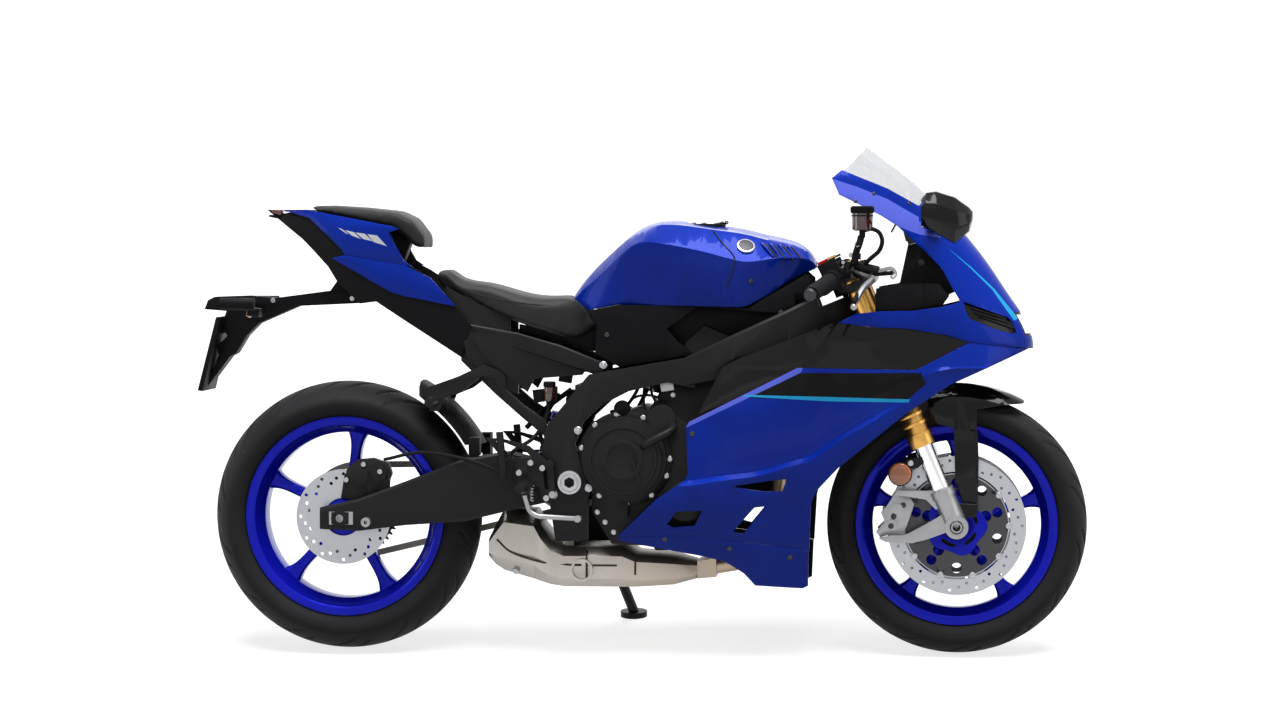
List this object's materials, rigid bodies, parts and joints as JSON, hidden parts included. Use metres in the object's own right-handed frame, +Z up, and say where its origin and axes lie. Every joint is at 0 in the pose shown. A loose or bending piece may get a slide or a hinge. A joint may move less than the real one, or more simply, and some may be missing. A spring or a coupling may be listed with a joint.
{
  "type": "sport motorcycle",
  "caption": "Full-fairing sport motorcycle leaning on its side stand, with turning wheels, steering, folding side stand and hinged filler lid.",
  "frame": {"origin": "on the ground, under the centre of the bounding box of the parked motorcycle", "axes": "+X forward, +Y to the rider's left, +Z up"},
  "size_m": [2.0639, 0.7249, 1.162],
  "materials": {
    "blue_paint": "gloss",
    "blue_wheel": "gloss",
    "black_plastic": "satin",
    "gloss_black": "gloss",
    "black_frame": "satin",
    "tyre_rubber": "matte",
    "seat_cover": "matte",
    "disc_steel": "brushed",
    "exhaust_steel": "brushed",
    "chain_steel": "satin",
    "gold_tube": "satin",
    "chrome_tube": "polished",
    "cast_silver": "satin",
    "dark_engine": "satin",
    "clear_screen": "clear",
    "lamp_glass": "clear",
    "lamp_red": "clear"
  },
  "bodies": {
    "chassis": {"air_box": "black_plastic", "belly_cowl": "blue_paint", "drive_chain": "chain_steel", "engine_block": "dark_engine", "engine_covers": "dark_engine", "exhaust_headers": "exhaust_steel", "exhaust_muffler": "exhaust_steel", "footrest_left": "black_frame", "footrest_right": "black_frame", "frame_covers": "black_plastic", "fuel_tank": "blue_paint", "headlamp": "lamp_glass", "instrument_panel": "gloss_black", "intake_panels": "gloss_black", "main_frame": "black_frame", "mirrors": "gloss_black", "nose_cowl": "blue_paint", "paddock_spools": "cast_silver", "pillion_footrests": "black_frame", "pillion_seat": "seat_cover", "pivot_bolt": "cast_silver", "plate_bracket": "black_plastic", "radiator": "black_frame", "rear_caliper": "black_frame", "rear_hugger": "black_plastic", "rider_seat": "seat_cover", "seat_subframe": "black_frame", "shock_absorber": "black_frame", "side_fairing_left": "blue_paint", "side_fairing_right": "blue_paint", "swingarm": "black_frame", "tail_cowl": "blue_paint", "tail_lamp": "lamp_red", "tail_undertray": "black_plastic", "windscreen": "clear_screen"},
    "steering": {"triple_clamps": "black_frame", "fork_outer_tubes": "gold_tube", "fork_inner_tubes": "chrome_tube", "fork_bottoms": "cast_silver", "front_calipers": "cast_silver", "front_fender": "gloss_black", "handlebars": "black_frame", "hand_controls": "black_plastic"},
    "front_wheel": {"front_tyre": "tyre_rubber", "front_rim": "blue_wheel", "front_discs": "disc_steel"},
    "rear_wheel": {"rear_tyre": "tyre_rubber", "rear_rim": "blue_wheel", "rear_disc": "disc_steel", "rear_sprocket": "black_frame"},
    "stand": {"side_stand": "black_frame"},
    "filler_lid": {"fuel_cap": "black_frame"}
  },
  "joints": [
    {"name": "steering_turn", "type": "hinge", "parent": "chassis", "child": "steering", "pos_m": [0.70613, -0.10275, 0.28672], "axis": [-0.3827, 0.1445, 0.9125], "range_deg": [-27, 27]},
    {"name": "front_wheel_spin", "type": "hinge", "parent": "steering", "child": "front_wheel", "pos_m": [0.732, -0.10107, 0.29731], "axis": [0, 0.9877, -0.1564], "continuous": true},
    {"name": "rear_wheel_spin", "type": "hinge", "parent": "chassis", "child": "rear_wheel", "pos_m": [-0.688, -0.09904, 0.31015], "axis": [0, 0.9877, -0.1564], "continuous": true},
    {"name": "stand_fold", "type": "hinge", "parent": "chassis", "child": "stand", "pos_m": [-0.09, 0.04382, 0.18931], "axis": [0, 0.8517, 0.524], "range_deg": [0, 92]},
    {"name": "filler_lid_open", "type": "hinge", "parent": "chassis", "child": "filler_lid", "pos_m": [0.198, 0.00781, 0.98474], "axis": [0, 0.9877, -0.1564], "range_deg": [0, 95]}
  ]
}
